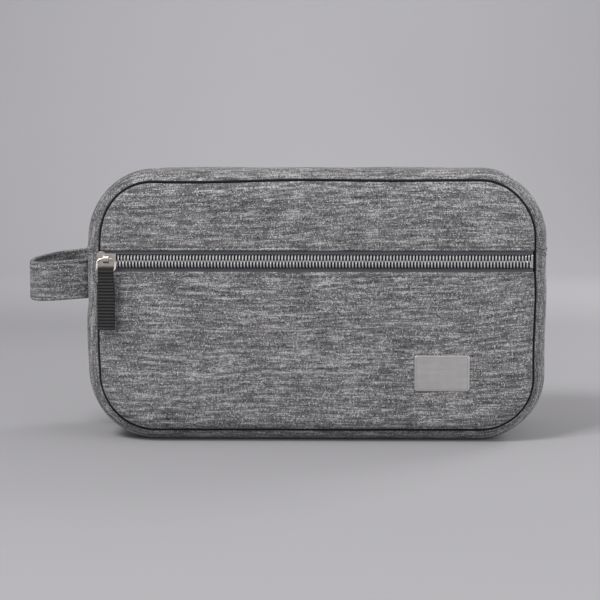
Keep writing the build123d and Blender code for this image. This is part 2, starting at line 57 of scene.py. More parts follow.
# Sizes are in millimetres. The seam is a rounded rectangle, once in front and once behind.
SEAM_HALF, SEAM_LOW, SEAM_HIGH, SEAM_RADIUS, SEAM_Y = 118.5, 7.0, 143.0, 30.0, 42.0
SEAM_MID = (SEAM_LOW + SEAM_HIGH) / 2
PANEL_PUFF, PANEL_ROLL, PANEL_MARGIN = 5.7, 7.0, 0.6
FOLD_DEPTH, GROOVE_DEPTH, RIDGE_HEIGHT = 0.75, 0.32, 0.25
CLOTH_THICK = 0.8
ZIP_Z, ZIP_HALF = 99.6, 5.75
LOW_EDGE, HIGH_EDGE = ZIP_Z - ZIP_HALF, ZIP_Z + ZIP_HALF
BADGE_X, BADGE_Z = 68.2, 38.8
HANDLE_Z = 88.7
SLACK = 0.3


def between(value, low, high):
    """0 below low, 1 above high, and straight between them."""
    return np.clip((value - low) / (high - low), 0, 1)


def slack(points):
    """Sewn cloth is never quite true. Three slow sine waves move it, fading out at the floor, the zips, the
    badge and the handle's ends."""
    points = np.asarray(points, float)
    x, y, z = points[..., 0], points[..., 1], points[..., 2]
    drift = np.zeros_like(points)
    for a, b, c, *phases in (
        (0.031, 0.04, 0.052, 0.4, 1.1, 2.0),
        (0.062, -0.05, 0.037, 2.1, 0.3, 1.2),
        (0.023, 0.03, -0.081, 1.3, 2.6, 0.2),
    ):
        angle = a * x + b * y + c * z
        drift += np.stack([np.sin(angle + phase) for phase in phases], -1)
    behind = between(y, -30, -18)
    keep = between(z, 1, 26)
    keep = keep * np.maximum(between(np.abs(z - ZIP_Z), 6, 20), behind)
    keep = keep * np.maximum(between(np.abs(y), 9, 25), between(-z, -120, -105))
    keep = keep * np.maximum(between(np.hypot((x - BADGE_X) / 17, (z - BADGE_Z) / 12), 1, 1.8), behind)
    keep = keep * np.maximum(between(x, -112, -100), between(np.abs(z - HANDLE_Z), 13, 21))
    return points + SLACK * drift * keep[..., None]


def edge_distance(x, z):
    """Distance inward from the seam, a rounded rectangle: the corner's radius less the distance from the
    corner's middle."""
    qx = np.abs(x) - (SEAM_HALF - SEAM_RADIUS)
    qz = np.abs(z - SEAM_MID) - ((SEAM_HIGH - SEAM_LOW) / 2 - SEAM_RADIUS)
    return SEAM_RADIUS - np.hypot(np.maximum(qx, 0), np.maximum(qz, 0)) - np.minimum(np.maximum(qx, qz), 0)


def half_width(z, inset):
    """Half the panel's width at height z, set in from the seam: constant, and a circle at the corners."""
    rise = np.maximum(np.abs(z - SEAM_MID) - ((SEAM_HIGH - SEAM_LOW) / 2 - SEAM_RADIUS), 0)
    return SEAM_HALF - SEAM_RADIUS + np.sqrt(np.maximum((SEAM_RADIUS - inset) ** 2 - rise**2, 0))


def belly(x, z):
    """The filled pocket stands out in two slow bell-shaped lumps, and the cloth puckers a little, in a sine,
    along the zip's stitches."""
    lump = np.exp(-(((x + 25) / 70) ** 2 + ((z - 55) / 30) ** 2))
    lump = lump + 0.5 * np.exp(-(((x - 35) / 60) ** 2 + ((z - 124) / 14) ** 2))
    pucker = 0.1 * np.sin(x * 0.9) * np.exp(-np.abs(z - ZIP_Z) / 9)
    away = between(np.abs(z - ZIP_Z), ZIP_HALF, ZIP_HALF + 3)
    return lump * between(edge_distance(x, z), 0, 25) * between(np.abs(z - ZIP_Z), 6, 22) + pucker * away


def panel_grid(low, high, side, rows, columns, inset=PANEL_MARGIN, fold=None, stitch=0.0, lumps=True):
    """Panel between two heights, as a grid. Its depth is a quarter ellipse from the seam in to a flat face.
    Beside the zip it has a quarter-round fold, a groove under the stitches and a soft ridge between."""
    z = low + (high - low) * (1 - np.cos(np.linspace(0, math.pi, rows))) / 2
    s = np.linspace(-1, 1, columns)
    s = np.sign(s) * (1 - (1 - np.abs(s)) ** 1.8)
    z = np.repeat(z[:, None], columns, 1)
    x = s * half_width(z, inset)
    near = between(edge_distance(x, z), 0, PANEL_ROLL)
    out = PANEL_PUFF * np.sqrt(1 - (1 - near) ** 2)
    if fold is not None:
        e = np.abs(z - fold)
        out -= FOLD_DEPTH * (1 - np.sqrt(1 - np.clip(1 - e, 0, 1) ** 2))
        out -= GROOVE_DEPTH * np.exp(-(((e - stitch) / 0.55) ** 2))
        out += RIDGE_HEIGHT * np.exp(-(((e - stitch * 0.45) / 0.8) ** 2))
    if lumps:
        out += belly(x, z)
    return np.stack([x, side * (SEAM_Y + out), z], -1), threads(x, z)


def threads(along, across):
    """Where a point lies in the cloth, in millimetres. The threads run a little askew, in slow waves."""
    wave = 1.4 * np.sin(along / 52 + across / 38) + 0.5 * np.sin(along / 19 - across / 27)
    return np.stack(np.broadcast_arrays(along + 0.02 * across, across - 0.02 * along + wave), -1)


def grid_faces(rows, columns, closed_rows=False, closed_columns=False):
    """Quads of a grid whose points are numbered row by row."""
    i = np.arange(rows if closed_rows else rows - 1)[:, None]
    j = np.arange(columns if closed_columns else columns - 1)[None]
    here, after = i * columns, (i + 1) % rows * columns
    right = (j + 1) % columns
    return np.stack(np.broadcast_arrays(here + j, here + right, after + right, after + j), -1).reshape(-1, 4)


def slab(surface, uv, thickness, flip=False):
    """Closed sheet of cloth: a grid, the same grid set in along its normals, and a rim. A normal is the cross
    product of the grid's two directions."""
    rows, columns = surface.shape[:2]
    normal = np.cross(np.gradient(surface, axis=1), np.gradient(surface, axis=0))
    normal /= np.maximum(np.linalg.norm(normal, axis=-1, keepdims=True), 1e-9)
    inner = surface - normal * (-thickness if flip else thickness)
    count = rows * columns
    face = grid_faces(rows, columns)
    index = np.arange(count).reshape(rows, columns)
    rim = np.concatenate([index[0, :-1], index[:-1, -1], index[-1, :0:-1], index[:0:-1, 0]])
    after = np.roll(rim, -1)
    side = np.stack([rim + count, after + count, after, rim], -1)
    faces = np.concatenate([face, face[:, ::-1] + count, side])
    points = np.concatenate([surface.reshape(-1, 3), inner.reshape(-1, 3)])
    return points, faces[:, ::-1] if flip else faces, np.concatenate([uv.reshape(-1, 2)] * 2)


def add_mesh(name, shape, finish, body=None, sharp=40):
    """Mesh object from a shape: points, faces and UVs, in millimetres. Edges over an angle stay sharp."""
    points, faces, uv = shape
    mesh = bpy.data.meshes.new(name)
    faces = faces if isinstance(faces, list) else faces.tolist()
    mesh.from_pydata((np.asarray(points) * 0.001).tolist(), [], faces)
    loops = np.empty(len(mesh.loops), np.int32)
    mesh.loops.foreach_get("vertex_index", loops)
    layer = mesh.uv_layers.new(name="UVMap")
    layer.data.foreach_set("uv", np.asarray(uv, np.float32)[loops].ravel())
    mesh.polygons.foreach_set("use_smooth", np.ones(len(mesh.polygons), bool))
    mesh.set_sharp_from_angle(angle=math.radians(sharp))
    mesh.update()
    piece = bpy.data.objects.new(name, mesh)
    bpy.context.scene.collection.objects.link(piece)
    mesh.materials.append(finish)
    if body:
        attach(piece, body)
    return piece


class Nodes:
    """Short way to write a node tree: each method adds one node and returns its output."""

    def __init__(self, tree):
        self.tree = tree

    def add(self, kind, values=(), **settings):
        node = self.tree.nodes.new(kind)
        for key, value in settings.items():
            setattr(node, key, value)
        for key, value in dict(values).items():
            self.feed(node.inputs[key], value)
        return node

    def feed(self, socket, value):
        if isinstance(value, bpy.types.NodeSocket):
            self.tree.links.new(value, socket)
        else:
            socket.default_value = value

    def math(self, operation, a, b=0.0, c=0.0):
        node = self.add("ShaderNodeMath", operation=operation)
        for socket, value in zip(node.inputs, (a, b, c)):
            self.feed(socket, value)
        return node.outputs[0]

    def spread(self, value, amount):
        """A value's difference from a half, times an amount."""
        return self.math("MULTIPLY_ADD", value, amount, -amount / 2)

    def sum(self, first, *others):
        for other in others:
            first = self.math("ADD", first, other)
        return first

    def xyz(self, x=0.0, y=0.0, z=0.0):
        return self.add("ShaderNodeCombineXYZ", {0: x, 1: y, 2: z}).outputs[0]

    def noise(self, place, scale, detail=2.0, rough=0.5):
        values = {"Vector": place, "Scale": scale, "Detail": detail, "Roughness": rough}
        return self.add("ShaderNodeTexNoise", values).outputs["Fac"]

    def chance(self, place):
        return self.add("ShaderNodeTexWhiteNoise", {"Vector": place}, noise_dimensions="3D").outputs["Value"]

    def mix(self, factor, a, b):
        node = self.add("ShaderNodeMix", data_type="FLOAT")
        for socket, value in zip((node.inputs[0], node.inputs[2], node.inputs[3]), (factor, a, b)):
            self.feed(socket, value)
        return node.outputs[0]

    def ramp(self, value, *stops):
        node = self.add("ShaderNodeValToRGB", {"Fac": value})
        elements = node.color_ramp.elements
        while len(elements) < len(stops):
            elements.new(0.5)
        for element, (place, color) in zip(elements, stops):
            element.position = place
            element.color = (*color, 1)
        return node.outputs["Color"]

    def place(self):
        """The piece's own UV, in millimetres."""
        return self.add("ShaderNodeUVMap", uv_map="UVMap").outputs[0]


def material(name, build, roughness=0.5, metallic=0.0, sheen=0.0, bump=0.3, distance=0.0002):
    """Material whose colour, height and roughness come from build(nodes). Its other values are constant."""
    made = bpy.data.materials.new(name)
    made.use_nodes = True
    shader = made.node_tree.nodes["Principled BSDF"]
    n = Nodes(made.node_tree)
    color, height, rough = build(n)
    n.feed(shader.inputs["Base Color"], color)
    n.feed(shader.inputs["Roughness"], roughness if rough is None else rough)
    shader.inputs["Metallic"].default_value = metallic
    shader.inputs["Sheen Weight"].default_value = sheen
    shader.inputs["Sheen Roughness"].default_value = 0.6
    relief = n.add("ShaderNodeBump", {"Height": height, "Strength": bump, "Distance": distance})
    n.feed(shader.inputs["Normal"], relief.outputs[0])
    return made


def weave_group():
    """Plain weave. Each weft and warp thread has its own slubs, drawn out along it. Tone is a thread's
    lightness about a half, Relief its rounding |sin|, and Mottle a slow change over the cloth."""
    tree = bpy.data.node_groups.new("plain_weave", "ShaderNodeTree")
    tree.interface.new_socket("Place", in_out="INPUT", socket_type="NodeSocketVector")
    tree.interface.new_socket("Pitch", in_out="INPUT", socket_type="NodeSocketFloat")
    for name in ("Tone", "Relief", "Mottle"):
        tree.interface.new_socket(name, in_out="OUTPUT", socket_type="NodeSocketFloat")
    n = Nodes(tree)
    place, pitch = n.add("NodeGroupInput").outputs[:2]
    sink = n.add("NodeGroupOutput")
    parts = n.add("ShaderNodeSeparateXYZ", {0: place}).outputs
    u, v = n.math("DIVIDE", parts[0], pitch), n.math("DIVIDE", parts[1], pitch)
    column, row = n.math("FLOOR", u), n.math("FLOOR", v)
    weft_place = n.xyz(n.math("MULTIPLY", u, 0.05), n.math("MULTIPLY", row, 7.31), 0.0)
    warp_place = n.xyz(n.math("MULTIPLY", v, 0.22), n.math("MULTIPLY", column, 5.77), 9.0)
    streak_place = n.xyz(n.math("MULTIPLY", u, 0.035), n.math("MULTIPLY", v, 0.27), 4.0)
    weft = n.noise(weft_place, 1.0, 4.0, 0.68)
    warp = n.noise(warp_place, 1.0, 3.0, 0.6)
    streak = n.noise(streak_place, 1.0, 2.0, 0.6)
    over = n.math("MODULO", n.math("ABSOLUTE", n.math("ADD", row, column)), 2.0)
    fleck = n.chance(n.xyz(row, column, 2.0))
    weft_tone = n.sum(n.spread(weft, 1.4), n.spread(streak, 1.2))
    warp_tone = n.sum(n.spread(warp, 1.8), n.spread(streak, 0.6))
    tone = n.mix(over, n.mix(0.25, warp_tone, weft_tone), weft_tone)
    light = n.math("MULTIPLY", n.math("GREATER_THAN", fleck, 0.962), 0.3)
    dark = n.math("MULTIPLY", n.math("LESS_THAN", fleck, 0.055), -0.28)
    thread = n.spread(n.chance(n.xyz(row, 3.0, 1.0)), 0.12)
    n.feed(sink.inputs[0], n.sum(tone, 0.5, light, dark, thread, n.spread(fleck, 0.24)))
    round_weft = n.math("ABSOLUTE", n.math("SINE", n.math("MULTIPLY", v, math.pi)))
    round_warp = n.math("ABSOLUTE", n.math("SINE", n.math("MULTIPLY", u, math.pi)))
    n.feed(sink.inputs[1], n.mix(over, round_warp, round_weft))
    n.feed(sink.inputs[2], n.noise(place, 0.035, 3.0, 0.6))
    return tree


WEAVE = weave_group()


def woven(n, pitch):
    """The weave at a thread pitch, on the piece's own UV."""
    weave = n.add("ShaderNodeGroup")
    weave.node_tree = WEAVE
    n.feed(weave.inputs[0], n.place())
    weave.inputs[1].default_value = pitch
    return weave.outputs


def heather(dark, middle, light, pitch=0.5):
    """Light and dark fibres spun together. The weave's tone picks the colour, which is painted darker in the
    hollows
    between threads: a painted shade."""

    def build(n):
        tone, relief, mottle = woven(n, pitch)[:3]
        color = n.ramp(n.sum(tone, n.spread(mottle, 0.3)), (0.08, dark), (0.5, middle), (0.92, light))
        # painted shade: the colour is scaled by the threads' rounding, so the hollows between threads come
        # out darker
        shaded = n.add("ShaderNodeVectorMath", {0: color}, operation="SCALE")
        n.feed(shaded.inputs["Scale"], n.math("MULTIPLY_ADD", relief, 0.25, 0.8))
        return shaded.outputs[0], relief, None

    return build


HEATHER = heather((0.018, 0.018, 0.02), (0.168, 0.165, 0.169), (0.62, 0.615, 0.62))
CLOTH = material("heather_cloth", HEATHER, 0.9, sheen=0.1, bump=0.35)


def speckled(color, scale, spread=0.3):
    """One colour with small differences: noise on the place in the object."""

    def build(n):
        grain = n.noise(n.add("ShaderNodeTexCoord").outputs["Object"], scale, 3.0)
        low, high = ([min(1, c * (1 + way)) for c in color] for way in (-spread, spread))
        return n.ramp(grain, (0.3, low), (0.7, high)), grain, None

    return build


THREAD = material("sewing_thread", speckled((0.075, 0.075, 0.078), 2500.0, 0.5), 0.8, bump=0.3)


def carried(path, across, out, profile, closed=False):
    """Closed profile carried along a path, or each path of a batch: point = path + a * across + b * out, for
    each (a, b) of the profile, which goes round counter-clockwise. An open end is capped."""
    path, profile = np.asarray(path, float), np.asarray(profile, float)
    path = path[None] if path.ndim == 2 else path
    across, out = np.broadcast_to(across, path.shape), np.broadcast_to(out, path.shape)
    count, length, sides = *path.shape[:2], profile.shape[-2]
    points = path[:, :, None] + profile[..., :1] * across[:, :, None] + profile[..., 1:] * out[:, :, None]
    ring = profile.reshape(-1, sides, 2)[-1]
    steps = np.cumsum(np.linalg.norm(np.diff(path, axis=1), axis=2), 1)
    run = np.concatenate([np.zeros((count, 1)), steps], 1)
    uv = np.stack(np.broadcast_arrays(run[..., None], distances(ring)), -1)
    faces = grid_faces(length, sides, closed, True)
    starts = np.arange(count)[:, None] * length * sides
    quads = (faces[None] + starts[..., None]).reshape(-1, 4)
    ends = np.zeros((0, sides), int)
    if not closed:
        corner = np.arange(sides)[None] + starts
        ends = np.concatenate([corner[:, ::-1], corner + (length - 1) * sides])
    way = (np.cross(across, out) * np.gradient(path, axis=1)).sum()
    if way < 0:
        quads, ends = quads[:, ::-1], ends[:, ::-1]
    return points.reshape(-1, 3), quads.tolist() + ends.tolist(), uv.reshape(-1, 2)


def circle(radius, sides=8):
    """Points on a circle, counter-clockwise. A row of radii gives a row of circles."""
    turn = np.arange(sides) * 2 * math.pi / sides
    return np.asarray(radius)[..., None, None] * np.stack([np.cos(turn), np.sin(turn)], -1)


def square_to(path, reference):
    """Two directions across a path: its tangent's cross product with a reference, and the tangent's cross
    product with the first."""
    tangent = np.gradient(path, axis=-2)
    tangent /= np.linalg.norm(tangent, axis=-1, keepdims=True)
    first = np.cross(tangent, reference)
    first /= np.maximum(np.linalg.norm(first, axis=-1, keepdims=True), 1e-9)
    return first, np.cross(tangent, first)


def distances(line):
    """Distance along a polyline to each of its points."""
    return np.concatenate([[0], np.cumsum(np.linalg.norm(np.diff(line, axis=0), axis=1))])


def at_runs(line, runs):
    """Points of a polyline at given distances along it."""
    return np.stack([np.interp(runs, distances(line), column) for column in np.asarray(line).T], -1)


def stitches(line, normals, pitch=3.6, length=2.7, radius=0.24):
    """Row of sewing stitches. Each thread follows the line for its length and rises out of the cloth as a
    flattened half sine: lift = radius * (1.25 sin(t)^0.6 - 0.9)."""
    both = np.concatenate([line, np.broadcast_to(normals, np.shape(line))], 1)
    run = distances(np.asarray(line))
    count = int(run[-1] / pitch)
    first = (run[-1] - count * pitch) / 2 + (pitch - length) / 2
    t = np.linspace(0, 1, 6)
    wanted = first + np.arange(count)[:, None] * pitch + t * length
    mixed = np.stack([np.interp(wanted, run, column) for column in both.T], -1)
    lift = (np.sin(t * math.pi) ** 0.6 * 1.25 - 0.9) * radius
    path = mixed[..., :3] + mixed[..., 3:] * lift[:, None]
    across, out = square_to(path, mixed[..., 3:])
    return carried(path, across, out, circle(radius * (0.72 + 0.28 * np.sin(t * math.pi)), 6))


def sewn_sheet(surface):
    """Works out the cut of a piece of thin cloth, the grid's longest row and column, and its area, the sum of
    the grid's quads, each half the cross product of its diagonals. Nothing is done with them."""
    metres = np.asarray(surface) * 0.001
    width, length = (np.linalg.norm(np.diff(metres, axis=k), axis=2).sum(k).max() for k in (1, 0))
    diagonals = metres[1:, 1:] - metres[:-1, :-1], metres[1:, :-1] - metres[:-1, 1:]
    area = np.linalg.norm(np.cross(*diagonals), axis=-1).sum() / 2


UPPER_STITCH, LOWER_STITCH = 1.7, 2.7
PANEL_COLUMNS = 260
for name, low, high, fold, stitch, rows, shift in (
    ("upper", HIGH_EDGE, SEAM_HIGH - PANEL_MARGIN, HIGH_EDGE, UPPER_STITCH, 90, 0),
    ("lower", SEAM_LOW + PANEL_MARGIN, LOW_EDGE, LOW_EDGE, LOWER_STITCH, 150, 400),
):
    face, uv = panel_grid(low, high, -1, rows, PANEL_COLUMNS, fold=fold, stitch=stitch)
    face = slack(face)
    shape = slab(face, uv + [0, shift], CLOTH_THICK)
    piece = add_mesh(f"panel_front_{name}", shape, CLOTH, "bag_body")
    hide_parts(f"front_panel_{name}")
    sewn_sheet(face)
    line = fold + stitch * (1 if name == "upper" else -1)
    middle_heights = face[:, PANEL_COLUMNS // 2, 2]
    seam_row = face[np.argmin(np.abs(middle_heights - line))][4:-4]
    add_mesh(f"pocket_stitches_{name}", stitches(seam_row, [0, -1, 0]), THREAD, "bag_body")


# Flat layers inside: the pocket's back, the foam board, and the two linings
# Thin black polyester and one board of soft foam, cut to the panel's outline and caught in
# the seam all round. The pocket's back lies in front of the board.


def plain_cloth(color, pitch=0.35, spread=0.25):
    """Plain thin cloth: the weave's tone moves one colour a little up and down."""

    def build(n):
        tone, relief = woven(n, pitch)[:2]
        low, high = ([min(1, c * (1 + way)) for c in color] for way in (-spread, spread))
        return n.ramp(tone, (0.25, low), (0.75, high)), relief, None

    return build


LINING_THICK, FOAM_THICK = 0.4, 2.6
LINING = material("lining_cloth", plain_cloth((0.03, 0.03, 0.034)), 0.75, bump=0.2)
FOAM = material("foam", speckled((0.5, 0.5, 0.48), 1500.0, 0.15), 0.95, bump=0.5)

for name, node, y, inset, thick, flip, finish, slot in (
    ("pocket_back_cloth", "pocket_back", -41.6, 2.0, LINING_THICK, False, LINING, "lining"),
    ("foam_board_front", "front_foam", -41.1, 2.0, FOAM_THICK, False, FOAM, "foam"),
    ("lining_front_cloth", "front_lining", -37.9, 2.0, LINING_THICK, True, LINING, "lining"),
    ("lining_back_cloth", "back_lining", 43.6, 6.0, LINING_THICK, False, LINING, "lining"),
):
    surface, uv = panel_grid(SEAM_LOW + inset, SEAM_HIGH - inset, -1, 60, 60, inset=inset, lumps=False)
    surface[..., 1] = y
    piece = add_mesh(name, slab(surface, uv, thick, flip), finish, "bag_body")
    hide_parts(node)
    if slot == "foam":
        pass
    else:
        sewn_sheet(surface)


# Back panel
# One piece of the same heather cloth with a foam board behind it, rolled down to the rear
# seam all round. It has no pocket.

PADDED_THICK = 3.4
BACK_FULLNESS = 0.8
surface, uv = panel_grid(SEAM_LOW + PANEL_MARGIN, SEAM_HIGH - PANEL_MARGIN, 1, 170, 240, lumps=False)
x, _, z = np.moveaxis(surface, -1, 0)
full = BACK_FULLNESS * np.exp(-((x / 75) ** 2 + ((z - 68) / 40) ** 2))
surface[..., 1] += full * between(edge_distance(x, z), 0, 25)
shape = slab(slack(surface), uv + [300, 700], PADDED_THICK, True)
piece = add_mesh("panel_back", shape, CLOTH, "bag_body")
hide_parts("back_panel", "back_foam")


# Gussets
# A padded band round the bag: heather cloth, foam and lining. The base gusset goes round
# the bottom and up the sides, and the zipped gusset over the top.

CROWN_Y = 30.0
BULGE = 7.0
SIDE_BULGE = {-1: 0.16, 1: 0.08}
ROLL_RADIUS = ((SEAM_Y - CROWN_Y) ** 2 + BULGE**2) / (2 * BULGE)
MOUTH_EDGE, MOUTH_RISE = 7.5, 1.7
STRIP_FALL = BULGE - MOUTH_RISE
STRIP_RADIUS = ((CROWN_Y - MOUTH_EDGE) ** 2 + STRIP_FALL**2) / (2 * STRIP_FALL)
CROSS_SEAM = 106.0
TOP_STRAIGHT = SEAM_HALF - SEAM_RADIUS
CORNER_RUN = SEAM_RADIUS * math.pi / 2
SIDE_STRAIGHT = SEAM_HIGH - SEAM_LOW - 2 * SEAM_RADIUS
CROSS_RUN = TOP_STRAIGHT + CORNER_RUN + (SEAM_HIGH - SEAM_RADIUS - CROSS_SEAM)
LOOP_HALF = 2 * (TOP_STRAIGHT + CORNER_RUN) + SIDE_STRAIGHT
LINING_DEPTH, LINING_START = 3.7, 37.0
MOUTH_STITCH, MOUTH_SEWN = 2.6, 84
LIP_FOAM = 2.0
LIP_LINING = (
    (CROWN_Y - 0.4, BULGE - 3.6),
    (CROWN_Y - 1.5, BULGE - 4.0),
    (CROWN_Y - 4, BULGE - 4.6),
    (22, 1.2),
    (15, -1.2),
    (11, -1.5),
    (9.2, -0.7),
)


def outline(run, offset=0.0):
    """Point and outward direction on the seam, at a signed run from the middle of the top, set out by an
    offset: straights, and quarter circles whose angle is the run over the radius. The sides stand out more
    than the top."""
    run = np.where(run > LOOP_HALF, run - 2 * LOOP_HALF, run)
    s, side = np.abs(run), np.where(run < 0, -1.0, 1.0)
    turned = np.clip((s - TOP_STRAIGHT) / SEAM_RADIUS, 0, math.pi / 2)
    lower = TOP_STRAIGHT + CORNER_RUN + SIDE_STRAIGHT
    turned = turned + np.clip((s - lower) / SEAM_RADIUS, 0, math.pi / 2)
    nx, nz = np.sin(turned), np.cos(turned)
    offset = offset * (1 + np.where(run < 0, SIDE_BULGE[-1], SIDE_BULGE[1]) * nx**4)
    top_x = np.minimum(s, TOP_STRAIGHT) - np.maximum(s - lower - CORNER_RUN, 0)
    z = SEAM_HIGH - SEAM_RADIUS - np.clip(s - TOP_STRAIGHT - CORNER_RUN, 0, SIDE_STRAIGHT) + SEAM_RADIUS * nz
    return side * (top_x + (SEAM_RADIUS + offset) * nx), z + offset * nz, side * nx, nz


def gusset_grid(runs, section):
    """A section, rows of (y, offset), carried along the seam at given runs."""
    y, offset = np.asarray(section, float).T
    x, z, _, _ = outline(runs[:, None], offset[None])
    surface = np.stack(np.broadcast_arrays(x, y, z), -1)
    return surface, threads(runs[:, None], distances(np.asarray(section, float))[None])


def roll_section(side, depth=0.0, start=SEAM_Y - 0.25, count=26):
    """From beside the seam to the crown: a circle through both, and on the outer cloth a quarter-ellipse tuck
    into the seam."""
    y = start + (CROWN_Y - start) * np.linspace(0, 1, count) ** 1.3
    offset = BULGE - ROLL_RADIUS + np.sqrt(np.maximum((ROLL_RADIUS - depth) ** 2 - (y - CROWN_Y) ** 2, 0))
    tuck = between(SEAM_Y - 0.2 - y, 0, 2.2) if depth == 0 else 1.0
    return np.stack([side * y, offset * np.sqrt(tuck * (2 - tuck))], -1)


def strip_section(side, count=26):
    """From the crown down to the mouth on a circle, with a quarter-round folded edge, a ridge and a groove
    under the stitches."""
    y = CROWN_Y + (MOUTH_EDGE - CROWN_Y) * np.linspace(0, 1, count) ** 0.85
    e = y - MOUTH_EDGE
    offset = BULGE - STRIP_RADIUS + np.sqrt(STRIP_RADIUS**2 - (CROWN_Y - y) ** 2)
    offset -= 0.55 * (1 - np.sqrt(1 - np.clip(1 - e / 0.9, 0, 1) ** 2))
    offset += 0.2 * np.exp(-(((e - 1.2) / 0.8) ** 2)) - 0.25 * np.exp(-(((e - MOUTH_STITCH) / 0.5) ** 2))
    return np.stack([side * y, offset], -1)


BASE_RUNS = np.linspace(CROSS_RUN, 2 * LOOP_HALF - CROSS_RUN, 520)
TOP_HALF = 210
TOP_RUNS = np.linspace(-CROSS_RUN, CROSS_RUN, 2 * TOP_HALF + 1)
FLAT = np.linspace(-CROWN_Y, CROWN_Y, 24)[1:-1]


def base_section(depth=0.0, start=SEAM_Y - 0.25, count=26):
    """Roll, flat and roll, from the front seam to the rear one."""
    front = roll_section(-1, depth, start, count)
    middle = np.stack([FLAT, np.full_like(FLAT, BULGE - depth)], -1)
    return np.concatenate([front, middle, front[::-1] * [-1, 1]])


surface, uv = gusset_grid(BASE_RUNS, base_section())
surface = slack(surface)
surface[..., 2] = np.maximum(surface[..., 2], 0.0)
shape = slab(surface, uv + [0, 1200], PADDED_THICK, True)
piece = add_mesh("gusset_base", shape, CLOTH, "bag_body")
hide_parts("base_gusset", "base_foam")
surface, uv = gusset_grid(BASE_RUNS, base_section(LINING_DEPTH, LINING_START, 14))
piece = add_mesh("gusset_base_lining", slab(surface, uv, LINING_THICK, True), LINING, "bag_body")
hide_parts("base_lining")
sewn_sheet(surface)


def open_with_lip(piece):
    """Bakes the piece's placement into its mesh. The lip stays as drawn."""
    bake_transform(piece)


for side, name in ((-1, "front"), (1, "rear")):
    flip = side < 0
    surface, uv = gusset_grid(TOP_RUNS, roll_section(side))
    shape = slab(slack(surface), uv + [0, 1000 + 100 * side], PADDED_THICK, flip)
    piece = add_mesh(f"gusset_roll_{name}", shape, CLOTH, "bag_body")
    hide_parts(f"zip_gusset_strip_{name}", f"zip_gusset_foam_{name}")
    section = roll_section(side, LINING_DEPTH, LINING_START, 14)
    section = np.concatenate([section, [[side * (CROWN_Y - 0.3), BULGE - 3.6]]])
    surface, uv = gusset_grid(TOP_RUNS, section)
    shape = slab(surface, uv, LINING_THICK, flip)
    piece = add_mesh(f"gusset_roll_lining_{name}", shape, LINING, "bag_body")
    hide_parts(f"zip_gusset_lining_{name}")
    sewn_sheet(surface)

    for half, sign in (("left", -1), ("right", 1)):
        runs = TOP_RUNS[: TOP_HALF + 1] if sign < 0 else TOP_RUNS[TOP_HALF:]
        surface, uv = gusset_grid(runs, strip_section(side))
        surface = slack(surface)
        from_edge = np.abs(surface[TOP_HALF // 2, :, 1]) - MOUTH_EDGE
        thick = CLOTH_THICK + LIP_FOAM * between(from_edge, 2, 6)[:, None]
        shape = slab(surface, uv + [0, 1022 + 100 * side], thick, flip)
        strip = add_mesh(f"top_strip_{name}_{half}", shape, CLOTH, None)
        line = surface[2:-2, np.argmin(np.abs(from_edge - MOUTH_STITCH))]
        line = line[np.abs(line[:, 0]) < MOUTH_SEWN]
        sewn = add_mesh(f"mouth_stitches_{name}_{half}", stitches(line, [0, 0, 1]), THREAD, None)
        surface, uv = gusset_grid(runs, np.array(LIP_LINING) * [side, 1])
        shape = slab(surface, uv, LINING_THICK, flip)
        lining = add_mesh(f"top_lining_{name}_{half}", shape, LINING, None)
        sewn_sheet(surface)
        for piece in (strip, sewn, lining):
            open_with_lip(piece)
        if sign < 0:
            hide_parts(f"lip_strip_{name}", f"lip_foam_{name}")
            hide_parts(f"lip_lining_{name}")


# Seams
# Black piping lies deep in each seam: its black is a painted shadow of the seam's groove, and
# shows as a dark line. Inside, the raw edges of panel and gusset are wrapped in black woven binding.


def ribbed(color, pitch, light=1.6, cross=0.45):
    """Ribbed woven tape: ribs |sin(u)| across its length and fine threads |sin(v)| along it, painted lighter
    on their crests and darker between them (painted highlight and shade), over a noise grain of the tape's
    own tone.
    """

    def build(n):
        u, v = n.add("ShaderNodeSeparateXYZ", {0: n.place()}).outputs[:2]
        rib = n.math("ABSOLUTE", n.math("SINE", n.math("MULTIPLY", u, math.pi / pitch)))
        fine = n.math("ABSOLUTE", n.math("SINE", n.math("MULTIPLY", v, math.pi / cross)))
        grain = n.noise(n.xyz(n.math("MULTIPLY", u, 0.6), n.math("MULTIPLY", v, 2.0), 0.0), 1.0, 3.0)
        parts = (rib, 0.55), (grain, 0.5), (fine, 0.12)
        tone = n.sum(*(n.math("MULTIPLY", part, share) for part, share in parts))
        # the dark colour is a painted shade between the ribs and the bright one a painted highlight on their
        # crests; the grain noise is the tape's own tone
        dark, painted_highlight = [c * 0.45 for c in color], [min(1, c * light) for c in color]
        height = n.math("MULTIPLY_ADD", fine, 0.25, rib)
        return n.ramp(tone, (0.15, dark), (0.6, color), (1.0, painted_highlight)), height, None

    return build


def band(half_width, half_thick, flats=9, rounds=4):
    """Profile of a flat ribbon with round edges, counter-clockwise: two flats, with half circles between."""
    place = np.linspace(-1, 1, flats)
    end = np.linspace(-math.pi / 2, math.pi / 2, rounds + 2)[1:-1]
    place = np.concatenate([place, np.ones(rounds), place[::-1], -np.ones(rounds)])
    turn = np.concatenate([np.full(flats, -math.pi / 2), end, np.full(flats, math.pi / 2), end + math.pi])
    half_width, half_thick = np.asarray(half_width)[..., None], np.asarray(half_thick)[..., None]
    a = place * (half_width - half_thick) + half_thick * np.cos(turn)
    return np.stack(np.broadcast_arrays(a, half_thick * np.sin(turn)), -1)


